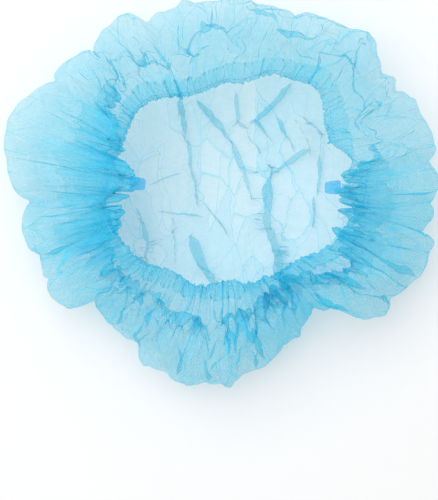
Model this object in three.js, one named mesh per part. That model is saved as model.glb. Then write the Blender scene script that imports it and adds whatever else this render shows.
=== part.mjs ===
// Disposable pleated hair cap, opened and lying crown down with its mouth up.
// One thin nonwoven sheet puffs out over the surface that it lies on, turns in to a gathered
// neck and ends in a frill. An elastic band runs round the outside of the neck, and a welded
// tab closes each end of the strip that the cap was folded into.
// Millimetres and degrees, +Z up, origin on the surface under the middle of the cap.
import * as THREE from "three";

// Driving dimensions of the sheet
const WALL = 1.0; // thickness of the sheet
const CROWN_CELLS = 28; // squares along one side of the crown's grid
const COLUMNS = 4 * CROWN_CELLS; // wall columns, one for each point on the grid's edge
const FLOOR_SHARE = 0.72; // share of the reach that lies flat on the surface
const BELLY_HEIGHT = 24; // height of the widest point of a puff
const NECK_HEIGHT = 46; // where the shoulder meets the neck
const NECK_LENGTH = 9; // straight gathered stretch that the elastic grips
const FRILL_LENGTH = 13; // free edge past the neck
const SHOULDER_TURN = 118; // how far the shoulder turns over from the belly to the neck
const ROWS = { flank: 4, shoulder: 6, neck: 1, frill: 2 }; // rows of cells in each stretch

// Depth of the gathers, as the height of a crest over the sheet's own middle
const GATHER = { floor: 0, belly: 0.7, neck: 1.7, edge: 3.2 };

// Elastic band and welded tabs
const BAND = { width: 4.6, thickness: 0.8, lift: 3.6, segments: 56 };
const TAB = { length: 10, width: 9, tip: 7, thickness: 1.2, droop: 12, seat: 0.4 };
const FIT_GAP = 0.35; // clearance between pieces that touch

// The outline from above. Each row is one puff: it runs from the notch at angle `from`, which
// lies `notch` from the middle, to the next row's notch, bulges out past the line between them
// by `bulge` and stands higher than its notches by `rise`.
const PUFFS = [
  { from: 8.7, notch: 130.4, bulge: 8.0, rise: 9 },
  { from: 30.2, notch: 125.6, bulge: 5.6, rise: 5 },
  { from: 36.3, notch: 124.6, bulge: 9.3, rise: 10 },
  { from: 65.9, notch: 118.2, bulge: 4.0, rise: 7 },
  { from: 113, notch: 114.5, bulge: 12.4, rise: 9 },
  { from: 132, notch: 112.0, bulge: 8.7, rise: 7 },
  { from: 146, notch: 122.0, bulge: 19.8, rise: 12 },
  { from: 182.4, notch: 117.2, bulge: 7.8, rise: 8 },
  { from: 199, notch: 117.8, bulge: 2.2, rise: 5 },
  { from: 207, notch: 117.6, bulge: 9.3, rise: 8 },
  { from: 220.3, notch: 102.3, bulge: 2.0, rise: 7 },
  { from: 240, notch: 107.3, bulge: 3.0, rise: 4 },
  { from: 247.6, notch: 114.0, bulge: 10.5, rise: 10 },
  { from: 291.9, notch: 103.0, bulge: 2.0, rise: 6 },
  { from: 309, notch: 92.0, bulge: 1.0, rise: 3 },
  { from: 315.8, notch: 104.0, bulge: 10.0, rise: 6 },
  { from: 328, notch: 124.4, bulge: 12.0, rise: 9 },
  { from: 348.6, notch: 126.0, bulge: 5.0, rise: 6 },
  { from: 357, notch: 130.4, bulge: 3.7, rise: 5 },
];

// The mouth from above: the neck's radius at each angle, and how far the frill leans out there.
// At the two ends of the strip it leans in, over the mouth.
const MOUTH = [
  { at: 2, radius: 86, lean: -70 },
  { at: 8, radius: 88, lean: -50 },
  { at: 25, radius: 74, lean: 58 },
  { at: 48, radius: 86, lean: 66 },
  { at: 62, radius: 80, lean: 50 },
  { at: 81, radius: 67, lean: 62 },
  { at: 105, radius: 61, lean: 45 },
  { at: 132, radius: 70, lean: 60 },
  { at: 158, radius: 65, lean: 40 },
  { at: 168, radius: 70, lean: -55 },
  { at: 174.6, radius: 68, lean: -74 },
  { at: 181, radius: 71, lean: -55 },
  { at: 192, radius: 69, lean: 48 },
  { at: 215, radius: 65, lean: 64 },
  { at: 240, radius: 56, lean: 52 },
  { at: 257, radius: 59, lean: 30 },
  { at: 274, radius: 54, lean: 58 },
  { at: 292, radius: 59, lean: 36 },
  { at: 315, radius: 62, lean: 60 },
  { at: 340, radius: 77, lean: 50 },
  { at: 356, radius: 88, lean: -50 },
];

// Folds that stand up in the crown where it lies on the surface: two ends, height, half width.
const CROWN_FOLDS = [
  { x1: -9, y1: 55, x2: 14, y2: 2, height: 6, reach: 13 },
  { x1: -19, y1: 30, x2: -12, y2: -12, height: 4, reach: 11 },
  { x1: 35, y1: 18, x2: 33, y2: -40, height: 6, reach: 13 },
  { x1: 38, y1: 20, x2: 53, y2: 30, height: 4, reach: 11 },
  { x1: -52, y1: -8, x2: -45, y2: -44, height: 5, reach: 12 },
  { x1: -18, y1: -26, x2: 2, y2: -50, height: 5, reach: 13 },
  { x1: 62, y1: 38, x2: 60, y2: 2, height: 4, reach: 11 },
  { x1: -36, y1: 62, x2: -34, y2: 14, height: 4, reach: 11 },
];

const radians = THREE.MathUtils.degToRad;
const lerp = THREE.MathUtils.lerp;

// The two neighbouring rows of a table round the circle, and how far the angle is between them.
function rowsAround(table, key, angle) {
  const turn = THREE.MathUtils.euclideanModulo(angle, 360);
  const next = table.findIndex((row) => row[key] > turn);
  const after = table[next < 0 ? 0 : next];
  const before = table.at(next < 0 ? -1 : next - 1);
  const span = THREE.MathUtils.euclideanModulo(after[key] - before[key], 360);
  const share = THREE.MathUtils.euclideanModulo(turn - before[key], 360) / span;
  return { before, after, share };
}

// A puff's reach and the rise of its shoulder at an angle. A puff is round, so both climb
// steeply at its notches and are level in its middle.
function puffAt(angle) {
  const { before, after, share } = rowsAround(PUFFS, "from", angle);
  const swell = Math.sqrt(Math.sin(Math.PI * share));
  return {
    reach: lerp(before.notch, after.notch, share) + before.bulge * swell,
    rise: before.rise * swell,
  };
}

// The neck's radius and the frill's lean at an angle, easing from row to row.
function mouthAt(angle) {
  const { before, after, share } = rowsAround(MOUTH, "at", angle);
  const eased = (1 - Math.cos(Math.PI * share)) / 2;
  return {
    radius: lerp(before.radius, after.radius, eased),
    lean: lerp(before.lean, after.lean, eased),
  };
}

// The wall's profile at an angle, as named stretches from the floor outwards, up and back in.
// Each takes a share from 0 to 1 and gives the distance from the middle and the height.
function profileAt(angle) {
  const { reach, rise } = puffAt(angle);
  const { radius, lean } = mouthAt(angle);
  const floor = reach * FLOOR_SHARE;
  const turn = radians(SHOULDER_TURN);
  const over = (reach - radius) / (1 - Math.cos(turn));
  const frillFoot = NECK_HEIGHT + NECK_LENGTH;
  return {
    flank: (t) => ({
      r: floor + (reach - floor) * Math.sin((t * Math.PI) / 2),
      z: BELLY_HEIGHT * (1 - Math.cos((t * Math.PI) / 2)),
    }),
    shoulder: (t) => ({
      r: reach - over + over * Math.cos(t * turn),
      z:
        BELLY_HEIGHT +
        ((NECK_HEIGHT - BELLY_HEIGHT) * Math.sin(t * turn)) / Math.sin(turn) +
        rise * Math.sin(Math.PI * t) ** 2,
    }),
    neck: (t) => ({ r: radius, z: NECK_HEIGHT + NECK_LENGTH * t }),
    frill: (t) => ({
      r: radius + FRILL_LENGTH * t * Math.sin(radians(lean)),
      z: frillFoot + FRILL_LENGTH * t * Math.cos(radians(lean)),
    }),
  };
}

// How deep the gathers are along each stretch.
const GATHER_ALONG = {
  flank: (t) => lerp(GATHER.floor, GATHER.belly, t),
  shoulder: (t) => lerp(GATHER.belly, GATHER.neck, t * t),
  neck: () => GATHER.neck,
  frill: (t) => lerp(GATHER.neck, GATHER.edge, t),
};

// A point of the sheet's outer face. Crests and valleys of the gathers alternate from column
// to column, at right angles to the profile.
function wallPoint(column, stretch, t) {
  const angle = columnAngle(column);
  const along = profileAt(angle)[stretch];
  const step = 0.02;
  const here = along(t);
  const ahead = along(t + step);
  const behind = along(t - step);
  const length = Math.hypot(ahead.r - behind.r, ahead.z - behind.z);
  const crest = (column % 2 ? 1 : -1) * GATHER_ALONG[stretch](t);
  const r = here.r + (crest * (ahead.z - behind.z)) / length;
  const z = here.z - (crest * (ahead.r - behind.r)) / length;
  return polar(angle, r, z);
}

function polar(angle, r, z) {
  return new THREE.Vector3(r * Math.cos(radians(angle)), r * Math.sin(radians(angle)), z);
}

// Columns start at the crown grid's first corner and go round counter-clockwise.
function columnAngle(column) {
  return -135 + (360 * column) / COLUMNS;
}

// The grid place of a column on the crown's edge.
function columnCell(column) {
  const side = Math.floor(column / CROWN_CELLS);
  const step = column % CROWN_CELLS;
  return [
    [step, 0],
    [CROWN_CELLS, step],
    [CROWN_CELLS - step, CROWN_CELLS],
    [0, CROWN_CELLS - step],
  ][side];
}

// Height of the crown's folds over the surface: each is a ridge that eases down to both sides.
function foldHeight(x, y) {
  const point = new THREE.Vector3(x, y, 0);
  const heights = CROWN_FOLDS.map((fold) => {
    const line = new THREE.Line3(
      new THREE.Vector3(fold.x1, fold.y1, 0),
      new THREE.Vector3(fold.x2, fold.y2, 0),
    );
    const nearest = line.closestPointToPoint(point, true, new THREE.Vector3());
    const away = Math.min(1, nearest.distanceTo(point) / fold.reach);
    return (fold.height * (1 + Math.cos(Math.PI * away))) / 2;
  });
  return Math.max(0, ...heights);
}

// A point of the crown: squares of a flat grid become rings round the middle, so that the
// grid's edge runs along the edge of what lies flat.
function crownPoint(i, j) {
  const a = (2 * i) / CROWN_CELLS - 1;
  const b = (2 * j) / CROWN_CELLS - 1;
  const ring = Math.max(Math.abs(a), Math.abs(b));
  if (ring === 0) return new THREE.Vector3();
  const sideways = Math.abs(a) >= Math.abs(b);
  const angle = sideways
    ? (45 * b) / a + (a < 0 ? 180 : 0)
    : 90 - (45 * a) / b + (b < 0 ? 180 : 0);
  const r = ring * FLOOR_SHARE * puffAt(angle).reach;
  const point = polar(angle, r, 0);
  point.z = foldHeight(point.x, point.y);
  return point;
}

// The sheet: its outer face, an inner face one wall further in, and a rim along the frill.
function sheetGeometry() {
  const points = [];
  const faces = [];
  // A cell is split along its shorter diagonal, so that folds keep straight crests.
  const addQuad = (a, b, c, d) => {
    const apart = (p, q) => points[p].distanceTo(points[q]);
    if (apart(a, c) <= apart(b, d)) faces.push(a, b, c, a, c, d);
    else faces.push(a, b, d, b, c, d);
  };
  const cell = (i, j) => i * (CROWN_CELLS + 1) + j;

  for (let i = 0; i <= CROWN_CELLS; i++) {
    for (let j = 0; j <= CROWN_CELLS; j++) points.push(crownPoint(i, j));
  }
  for (let i = 0; i < CROWN_CELLS; i++) {
    for (let j = 0; j < CROWN_CELLS; j++) {
      addQuad(cell(i, j), cell(i, j + 1), cell(i + 1, j + 1), cell(i + 1, j));
    }
  }

  let ring = Array.from({ length: COLUMNS }, (_, column) => cell(...columnCell(column)));
  for (const [stretch, rows] of Object.entries(ROWS)) {
    for (let row = 1; row <= rows; row++) {
      const next = ring.map((_, column) => {
        points.push(wallPoint(column, stretch, row / rows));
        return points.length - 1;
      });
      ring.forEach((foot, column) => {
        const beside = (column + 1) % COLUMNS;
        addQuad(foot, ring[beside], next[beside], next[column]);
      });
      ring = next;
    }
  }

  const outer = new THREE.BufferGeometry().setFromPoints(points).setIndex(faces);
  outer.computeVertexNormals();
  const normal = new THREE.Vector3();
  const inside = points.map((point, i) => {
    normal.fromBufferAttribute(outer.attributes.normal, i);
    return point.clone().addScaledVector(normal, -WALL);
  });
  const turned = [];
  for (let f = 0; f < faces.length; f += 3) {
    turned.push(faces[f] + points.length, faces[f + 2] + points.length, faces[f + 1] + points.length);
  }
  const rim = ring.flatMap((a, column) => {
    const b = ring[(column + 1) % COLUMNS];
    const [c, d] = [b + points.length, a + points.length];
    return [a, b, c, a, c, d];
  });
  return new THREE.BufferGeometry()
    .setFromPoints([...points, ...inside])
    .setIndex([...faces, ...turned, ...rim]);
}

// The elastic: a flat band that stands on its edge round the crests of the neck's gathers.
function bandGeometry() {
  const near = GATHER.neck + FIT_GAP;
  const low = NECK_HEIGHT + BAND.lift;
  const section = [
    [near, low],
    [near + BAND.thickness, low],
    [near + BAND.thickness, low + BAND.width],
    [near, low + BAND.width],
  ];
  const points = [];
  const faces = [];
  for (let s = 0; s < BAND.segments; s++) {
    const angle = columnAngle((s * COLUMNS) / BAND.segments + 1);
    const { radius } = mouthAt(angle);
    section.forEach(([out, height]) => points.push(polar(angle, radius + out, height)));
    section.forEach((_, corner) => {
      const foot = s * section.length;
      const next = ((s + 1) % BAND.segments) * section.length;
      const beside = (corner + 1) % section.length;
      faces.push(foot + corner, next + corner, next + beside);
      faces.push(foot + corner, next + beside, foot + beside);
    });
  }
  return new THREE.BufferGeometry().setFromPoints(points).setIndex(faces);
}

// A welded tab: a flat tongue that narrows to its tip, made lying along +X from its root.
function tabGeometry() {
  const outline = new THREE.Shape([
    new THREE.Vector2(0, -TAB.width / 2),
    new THREE.Vector2(TAB.length, -TAB.tip / 2),
    new THREE.Vector2(TAB.length, TAB.tip / 2),
    new THREE.Vector2(0, TAB.width / 2),
  ]);
  return new THREE.ExtrudeGeometry(outline, { depth: TAB.thickness, bevelEnabled: false });
}

const nonwoven = new THREE.MeshStandardMaterial({ color: 0x8fd2ec, roughness: 0.85, side: THREE.DoubleSide });
const welded = new THREE.MeshStandardMaterial({ color: 0x3fbbe6, roughness: 0.6 });
const elastic = new THREE.MeshStandardMaterial({ color: 0xe6f3fa, roughness: 0.8 });

function named(name, geometry, material) {
  const mesh = new THREE.Mesh(geometry, material);
  mesh.name = name;
  return mesh;
}

// A tab carries on from the frill's edge where the strip's end is, points inwards and droops.
function placedTab(name, angle) {
  const edge = profileAt(angle).frill(1);
  const tab = named(name, tabGeometry(), welded);
  tab.position.copy(polar(angle, edge.r - TAB.seat, edge.z - TAB.thickness / 2));
  tab.rotation.set(0, radians(TAB.droop), radians(angle + 180), "ZYX");
  return tab;
}

const cap = new THREE.Group();
cap.add(named("cap_sheet", sheetGeometry(), nonwoven));
cap.add(named("elastic_band", bandGeometry(), elastic));
cap.add(placedTab("end_weld_left", 174.6));
cap.add(placedTab("end_weld_right", 2));

const box = new THREE.Box3().setFromObject(cap, true);
const middle = box.getCenter(new THREE.Vector3());
cap.position.set(-middle.x, -middle.y, -box.min.z);

export default cap;
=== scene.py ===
# %% [markdown]
# A disposable hair cap is one thin sheet of blue nonwoven. Its edge is gathered by an elastic,
# so that it puffs up when it is opened. Here it lies crown down with its mouth up.
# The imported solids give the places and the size. This lesson replaces them, piece by piece, with
# surfaces that are worked out in numpy and then look like thin, see-through, crumpled cloth.

# %% Load the frame
import bmesh
import bpy
import numpy as np
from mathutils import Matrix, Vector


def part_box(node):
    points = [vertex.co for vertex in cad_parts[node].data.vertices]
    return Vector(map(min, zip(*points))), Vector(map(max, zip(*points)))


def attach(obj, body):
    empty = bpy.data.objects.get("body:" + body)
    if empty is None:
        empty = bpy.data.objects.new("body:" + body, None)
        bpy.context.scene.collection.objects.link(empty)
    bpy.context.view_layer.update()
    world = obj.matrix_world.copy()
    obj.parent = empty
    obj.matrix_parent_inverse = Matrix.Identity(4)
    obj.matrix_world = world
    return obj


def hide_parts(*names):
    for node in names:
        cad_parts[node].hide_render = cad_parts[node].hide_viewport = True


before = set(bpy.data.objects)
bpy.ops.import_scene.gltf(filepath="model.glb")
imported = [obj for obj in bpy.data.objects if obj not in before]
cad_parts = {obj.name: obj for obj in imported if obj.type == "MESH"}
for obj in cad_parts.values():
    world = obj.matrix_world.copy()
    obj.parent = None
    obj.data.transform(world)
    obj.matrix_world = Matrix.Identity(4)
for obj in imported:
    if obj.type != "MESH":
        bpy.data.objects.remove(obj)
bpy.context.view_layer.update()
MM = 0.001

# %% [markdown]
# The camera looks straight down into the mouth. A long lens from far up keeps the outline free of
# perspective, as in a catalogue picture. The picture's middle lies a little below the cap, so the
# camera stands over that point, which needs no lens shift.

# %% Camera
PICTURE_HEIGHT = 500
MM_PER_PIXEL = 0.62
PICTURE_MIDDLE = (0.3, -36.0)
BELLY_LEVEL = 24
CAMERA_DISTANCE = 1500
SENSOR = 36

lens = SENSOR * CAMERA_DISTANCE / (PICTURE_HEIGHT * MM_PER_PIXEL)
camera = bpy.data.objects.new("camera", bpy.data.cameras.new("camera"))
camera.data.sensor_width = SENSOR
camera.data.lens = lens
camera.location = [v * MM for v in (*PICTURE_MIDDLE, BELLY_LEVEL + CAMERA_DISTANCE)]
bpy.context.scene.collection.objects.link(camera)
bpy.context.scene.camera = camera
print("camera lens in mm:", round(lens, 1))

# %% [markdown]
# Materials need two small tools. One turns the hex colours that a picture editor shows, which are
# sRGB, into the linear values that Blender calculates with. The other adds a node with its
# settings and links in one call, so that a material reads like a recipe.

# %% Colour and node tools
def linear(hex_colour):
    """sRGB hex to linear RGBA: each channel is divided by 12.92 near black, else a power of 2.4."""
    channels = np.array([int(hex_colour[i:i + 2], 16) for i in (1, 3, 5)]) / 255
    low = channels / 12.92
    high = ((channels + 0.055) / 1.055) ** 2.4
    return (*np.where(channels <= 0.04045, low, high).tolist(), 1.0)


def add_node(tree, kind, settings=None, **inputs):
    """Adds a node. Settings are its properties. An input is a value or another node's output."""
    node = tree.nodes.new(kind)
    for key, value in (settings or {}).items():
        setattr(node, key, value)
    for key, value in inputs.items():
        socket = node.inputs[int(key[2:])] if key.startswith("in") else node.inputs[key.replace("_", " ")]
        if isinstance(value, bpy.types.NodeSocket):
            tree.links.new(value, socket)
        else:
            socket.default_value = value
    return node


def new_material(name):
    """An empty node material, and its tree with only the output node in it."""
    material = bpy.data.materials.new(name)
    material.use_nodes = True
    material.node_tree.nodes.clear()
    return material, material.node_tree


print("sky blue in linear values:", [round(c, 3) for c in linear("#87c8e6")])

# %% [markdown]
# The floor is a large sheet of white studio paper, matt and without a pattern. One flat face is
# enough, because the camera looks straight down. Thin cloth is lit from both sides, because light
# that goes through it comes back up from this floor.

# %% Floor
# Both in metres
FLOOR_SIZE = 12
FLOOR_LEVEL = -0.0006

floor_mesh = bpy.data.meshes.new("floor")
half = FLOOR_SIZE / 2
corners = [(-half, -half, 0), (half, -half, 0), (half, half, 0), (-half, half, 0)]
floor_mesh.from_pydata(corners, [], [(0, 1, 2, 3)])
floor = bpy.data.objects.new("floor", floor_mesh)
floor.location.z = FLOOR_LEVEL
bpy.context.scene.collection.objects.link(floor)

paper, tree = new_material("white studio paper")
matt = add_node(tree, "ShaderNodeBsdfPrincipled", Base_Color=linear("#f7f7f7"), Roughness=0.9)
add_node(tree, "ShaderNodeOutputMaterial", Surface=matt.outputs[0])
floor_mesh.materials.append(paper)
print("floor in m:", FLOOR_SIZE)

# %% [markdown]
# Soft light comes from everywhere, and one wide lamp from the upper left gives the folds a lit and
# a shaded side. Light meets many layers on its way through the gathers, so it is followed through
# more of them than Blender does by itself.

# %% Light
# Size and place in metres, power in watts
KEY_SIZE = 1.6
KEY_PLACE = (-0.45, 0.5, 1.4)
KEY_POWER = 15
SKY_STRENGTH = 0.68
BOUNCES = {"transparent_max_bounces": 64, "max_bounces": 24, "diffuse_bounces": 16,
           "transmission_bounces": 16}

world = bpy.data.worlds.new("soft sky")
world.use_nodes = True
world.node_tree.nodes["Background"].inputs["Color"].default_value = (1, 1, 1, 1)
world.node_tree.nodes["Background"].inputs["Strength"].default_value = SKY_STRENGTH
bpy.context.scene.world = world

key = bpy.data.objects.new("key lamp", bpy.data.lights.new("key lamp", "AREA"))
key.data.size = KEY_SIZE
key.data.energy = KEY_POWER
key.location = KEY_PLACE
key.rotation_mode = "QUATERNION"
key.rotation_quaternion = key.location.to_track_quat("Z", "Y")
bpy.context.scene.collection.objects.link(key)
bpy.context.scene.view_settings.view_transform = "Standard"
for name, most in BOUNCES.items():
    setattr(bpy.context.scene.cycles, name, most)
print("key lamp in W:", KEY_POWER)

# %% [markdown]
# The shapes are worked out as arrays of points, which have to become mesh objects. Handing Blender
# whole arrays is much quicker than adding points one by one. Cloth also gets a flat UV map, which
# says where each point lies on the sheet before it is gathered, so that fibres follow the folds.
# Closed pieces have no map, and get their ends joined and their faces turned outwards.

# %% From arrays to a mesh object
def close_ends(mesh):
    """Points that meet at an end become one, and all faces are turned outwards."""
    solid = bmesh.new()
    solid.from_mesh(mesh)
    bmesh.ops.remove_doubles(solid, verts=solid.verts, dist=0.001 * MM)
    bmesh.ops.recalc_face_normals(solid, faces=solid.faces)
    solid.to_mesh(mesh)
    solid.free()


def mesh_object(name, points, quads, material, uv=None):
    """A smooth mesh object at the origin from points in millimetres and rows of four corners."""
    mesh = bpy.data.meshes.new(name)
    mesh.vertices.add(len(points))
    mesh.vertices.foreach_set("co", (points * MM).ravel())
    mesh.loops.add(quads.size)
    mesh.loops.foreach_set("vertex_index", quads.ravel())
    mesh.polygons.add(len(quads))
    mesh.polygons.foreach_set("loop_start", np.arange(0, quads.size, 4))
    mesh.update(calc_edges=True)
    mesh.polygons.foreach_set("use_smooth", np.ones(len(quads), bool))
    if uv is not None:
        layer = mesh.uv_layers.new(name="flat")
        layer.data.foreach_set("uv", uv.reshape(-1, 2)[quads.ravel()].ravel())
    else:
        close_ends(mesh)
    mesh.materials.append(material)
    piece = bpy.data.objects.new(name, mesh)
    bpy.context.scene.collection.objects.link(piece)
    return piece


print("mesh tools ready")

# %% [markdown]
# Most pieces are a grid of points. Neighbouring points become four-sided faces, and a direction
# that closes on itself, such as the way round a tube, joins its last row to its first.

# %% From a grid to faces
def grid_object(name, points, material, wrap=(False, False), uv=None):
    """Faces join point (i, j) to (i, j+1), (i+1, j+1) and (i+1, j). Points are in millimetres."""
    rows, columns = points.shape[:2]
    number = np.arange(rows * columns).reshape(rows, columns)
    for axis, closed in enumerate(wrap):
        if closed:
            number = np.concatenate([number, np.take(number, [0], axis)], axis)
    quads = np.stack([number[:-1, :-1], number[:-1, 1:], number[1:, 1:], number[1:, :-1]], -1)
    return mesh_object(name, points.reshape(-1, 3), quads.reshape(-1, 4), material, uv)


print("grid tool ready")

# %% [markdown]
# Nonwoven that has been packed flat keeps sharp, thin crease lines. There the fibres lie closer, so
# less light gets through. The edges of Voronoi cells are straight lines that meet at random, as such
# creases do. In the crown the cells are stretched one way, because the cap was pleated that way. In
# the gathers they are stretched outwards from the neck.

# %% Crease lines in the nonwoven
SHEET_WIDTH = 452
# Each row: UV map, width and length of a facet in millimetres
CREASES = [("flat", 15, 44), ("flat", 9, 34), ("gathers", SHEET_WIDTH / 64, 60)]
# Half width of a line, as a share of its facet, how clear a line is at least, and how clear a facet
# is at least, partly as painted facet shade
CREASE_SHARE = 0.035
CREASE_CLEAR = 0.70
FACET_CLEAR_AND_SHADE = 0.92
# Distances from the middle between which the crown's creases give way to those of the gathers
GATHERS_START = (80, 105)

nonwoven, tree = new_material("spunbond polypropylene")
flat_map = add_node(tree, "ShaderNodeUVMap", {"uv_map": "flat"}).outputs["UV"]
edges = []
for name, wide, long in CREASES:
    place = add_node(tree, "ShaderNodeUVMap", {"uv_map": name}).outputs["UV"]
    cells = add_node(tree, "ShaderNodeMapping", Vector=place,
                     Scale=(SHEET_WIDTH / wide, SHEET_WIDTH / long, 1))
    edge = add_node(tree, "ShaderNodeTexVoronoi",
                    {"voronoi_dimensions": "2D", "feature": "DISTANCE_TO_EDGE"},
                    Vector=cells.outputs[0], Scale=1.0)
    edges.append(edge.outputs["Distance"])
middle = add_node(tree, "ShaderNodeVectorMath", {"operation": "DISTANCE"},
                  in0=flat_map, in1=(0.5, 0.5, 0))
outside = add_node(tree, "ShaderNodeMapRange", Value=middle.outputs["Value"], To_Min=0.0, To_Max=1.0,
                   From_Min=GATHERS_START[0] / SHEET_WIDTH, From_Max=GATHERS_START[1] / SHEET_WIDTH)
crown = add_node(tree, "ShaderNodeMath", {"operation": "MINIMUM"}, in0=edges[0], in1=edges[1])
edge = add_node(tree, "ShaderNodeMix", Factor=outside.outputs[0], in2=crown.outputs[0], in3=edges[2])
crease = add_node(tree, "ShaderNodeMapRange", {"interpolation_type": "SMOOTHSTEP"}, Value=edge.outputs[0],
                  From_Min=0.0, From_Max=CREASE_SHARE, To_Min=CREASE_CLEAR, To_Max=1.0)
print("crease sets:", len(CREASES))

# %% [markdown]
# Not every crease is pressed equally hard, and each facet lies at its own small slant. A random
# value for each cell gives both: one share of it weakens the lines, the other dims the whole facet.
# That dimming is partly the denser cloth of a slant and partly painted shade, as if each facet
# were turned towards or away from the light.

# %% Strength of each crease, and painted facet shade
WEAK_CREASES = 1.4

facet_scale = (SHEET_WIDTH / CREASES[0][1], SHEET_WIDTH / CREASES[0][2], 1)
cells = add_node(tree, "ShaderNodeMapping", Vector=flat_map, Scale=facet_scale)
chance = add_node(tree, "ShaderNodeTexVoronoi", {"voronoi_dimensions": "2D"},
                  Vector=cells.outputs[0], Scale=1.0)
chances = add_node(tree, "ShaderNodeSeparateColor", Color=chance.outputs["Color"])
rare = add_node(tree, "ShaderNodeMath", {"operation": "POWER"}, in0=chances.outputs[0], in1=WEAK_CREASES)
line = add_node(tree, "ShaderNodeMix", Factor=rare.outputs[0], in2=1.0, in3=crease.outputs[0])
# Painted shade: each whole facet is dimmed at random, partly for its slant in the cloth
facet_shade = add_node(tree, "ShaderNodeMix", Factor=chances.outputs[1], in2=1.0, in3=FACET_CLEAR_AND_SHADE)
pressed = add_node(tree, "ShaderNodeMath", {"operation": "MULTIPLY"},
                   in0=line.outputs[0], in1=facet_shade.outputs[0])
print("a pressed line lets through", CREASE_CLEAR, "of what the cloth beside it does")

# %% [markdown]
# The nonwoven is spunbond polypropylene: fine dyed fibres thrown down at random and pressed
# together at small points. Between the fibres there is nothing, so most light goes straight
# through, and the rest is scattered by the blue fibres, back and onwards. One layer is nearly
# white, and several layers on each other are a deep blue, which is what gives the cap its look.
# Seen at a slant, as on the side of a fold, the same layer has more fibres in the way: the clear
# share is then raised to the power of one over the cosine of the slant, as for any thin film.
# Pleats finer than the mesh count as more layers, and the mesh carries that number. It is below one
# where a tuck turns under, so that its edge fades.

# %% How clear the nonwoven is
# Single fibres are too fine to show, so their clumps and a coarse grain are drawn, in millimetres
FIBRE_CLUMP = 4.0
FIBRE_GRAIN = 0.9
NOISE_LOW, NOISE_HIGH = 0.7, 1.3
CLEAR_MOST, CLEAR_LEAST = 0.915, 0.845
STEEPEST_COSINE = 0.65

clumps = add_node(tree, "ShaderNodeTexNoise", Vector=flat_map,
                  Scale=SHEET_WIDTH / FIBRE_CLUMP, Detail=1.0)
grain = add_node(tree, "ShaderNodeTexNoise", Vector=flat_map,
                 Scale=SHEET_WIDTH / FIBRE_GRAIN, Detail=0.0)
both = add_node(tree, "ShaderNodeMath", {"operation": "ADD"}, in0=clumps.outputs[0], in1=grain.outputs[0])
clear = add_node(tree, "ShaderNodeMapRange", Value=both.outputs[0], From_Min=NOISE_LOW,
                 From_Max=NOISE_HIGH, To_Min=CLEAR_MOST, To_Max=CLEAR_LEAST)
layer = add_node(tree, "ShaderNodeMath", {"operation": "MULTIPLY"},
                 in0=clear.outputs[0], in1=pressed.outputs[0])
slant = add_node(tree, "ShaderNodeLayerWeight", Blend=0.5)
cosine = add_node(tree, "ShaderNodeMapRange", Value=slant.outputs["Facing"], From_Min=0.0, From_Max=1.0,
                  To_Min=1.0, To_Max=STEEPEST_COSINE)
count = add_node(tree, "ShaderNodeAttribute", {"attribute_name": "layers"}).outputs["Fac"]
path = add_node(tree, "ShaderNodeMath", {"operation": "DIVIDE"}, in0=count, in1=cosine.outputs[0])
share = add_node(tree, "ShaderNodeMath", {"operation": "POWER"},
                 in0=layer.outputs[0], in1=path.outputs[0])
print("one layer of nonwoven is clear for", (CLEAR_MOST + CLEAR_LEAST) / 2, "of its area")

# %% [markdown]
# That share now mixes gaps and fibres. The fibres are matt: part of the light comes back from them,
# and part goes on through, both in their blue. Even the gaps lose a little light.

# %% Nonwoven material
FIBRE_BLUE = linear("#50e0fa")
GAP_COLOUR = linear("#fdfdfc")
THROUGH_SHARE = 0.4

back = add_node(tree, "ShaderNodeBsdfDiffuse", Color=FIBRE_BLUE)
through = add_node(tree, "ShaderNodeBsdfTranslucent", Color=FIBRE_BLUE)
fibres = add_node(tree, "ShaderNodeMixShader", Fac=THROUGH_SHARE, in1=back.outputs[0],
                  in2=through.outputs[0])
gaps = add_node(tree, "ShaderNodeBsdfTransparent", Color=GAP_COLOUR)
cloth = add_node(tree, "ShaderNodeMixShader", Fac=share.outputs[0], in1=fibres.outputs[0],
                 in2=gaps.outputs[0])
add_node(tree, "ShaderNodeOutputMaterial", Surface=cloth.outputs[0])
print("nonwoven nodes:", len(tree.nodes))

# %% [markdown]
# The outline is measured from above. It could be drawn as a curve, but a table of notches round the
# circle is shorter, and gives each puff its own height. A puff runs from one notch to the next, and
# bulges between them like a half round. The solids use the same rows, so that both have one outline.

# %% Outline
# Each row: angle of the notch, its distance from the middle, bulge past it, rise of the shoulder
PUFFS = np.array([
    (8.7, 130.4, 8.0, 9), (30.2, 125.6, 5.6, 5), (36.3, 124.6, 9.3, 10), (65.9, 118.2, 4.0, 7),
    (113, 114.5, 12.4, 9), (132, 112.0, 8.7, 7), (146, 122.0, 19.8, 12), (182.4, 117.2, 7.8, 8),
    (199, 117.8, 2.2, 5), (207, 117.6, 9.3, 8), (220.3, 102.3, 2.0, 7), (240, 107.3, 3.0, 4),
    (247.6, 114.0, 10.5, 10), (291.9, 103.0, 2.0, 6), (309, 92.0, 1.0, 3), (315.8, 104.0, 10.0, 6),
    (328, 124.4, 12.0, 9), (348.6, 126.0, 5.0, 6), (357, 130.4, 3.7, 5),
])


def rows_around(starts, angle):
    """The table rows before and after each angle, and the share of the way between the two."""
    turn = np.mod(angle, 360)
    before = np.searchsorted(starts, turn, side="right") - 1
    after = (before + 1) % len(starts)
    span = np.mod(starts[after] - starts[before], 360)
    return before, after, np.mod(turn - starts[before], 360) / span


def puff(angle):
    """Reach and rise: a line from notch to notch, plus a half round, the root of a half sine."""
    before, after, share = rows_around(PUFFS[:, 0], angle)
    swell = np.sqrt(np.sin(np.pi * share))
    notch = PUFFS[before, 1] + (PUFFS[after, 1] - PUFFS[before, 1]) * share
    return notch + PUFFS[before, 2] * swell, PUFFS[before, 3] * swell


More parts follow.
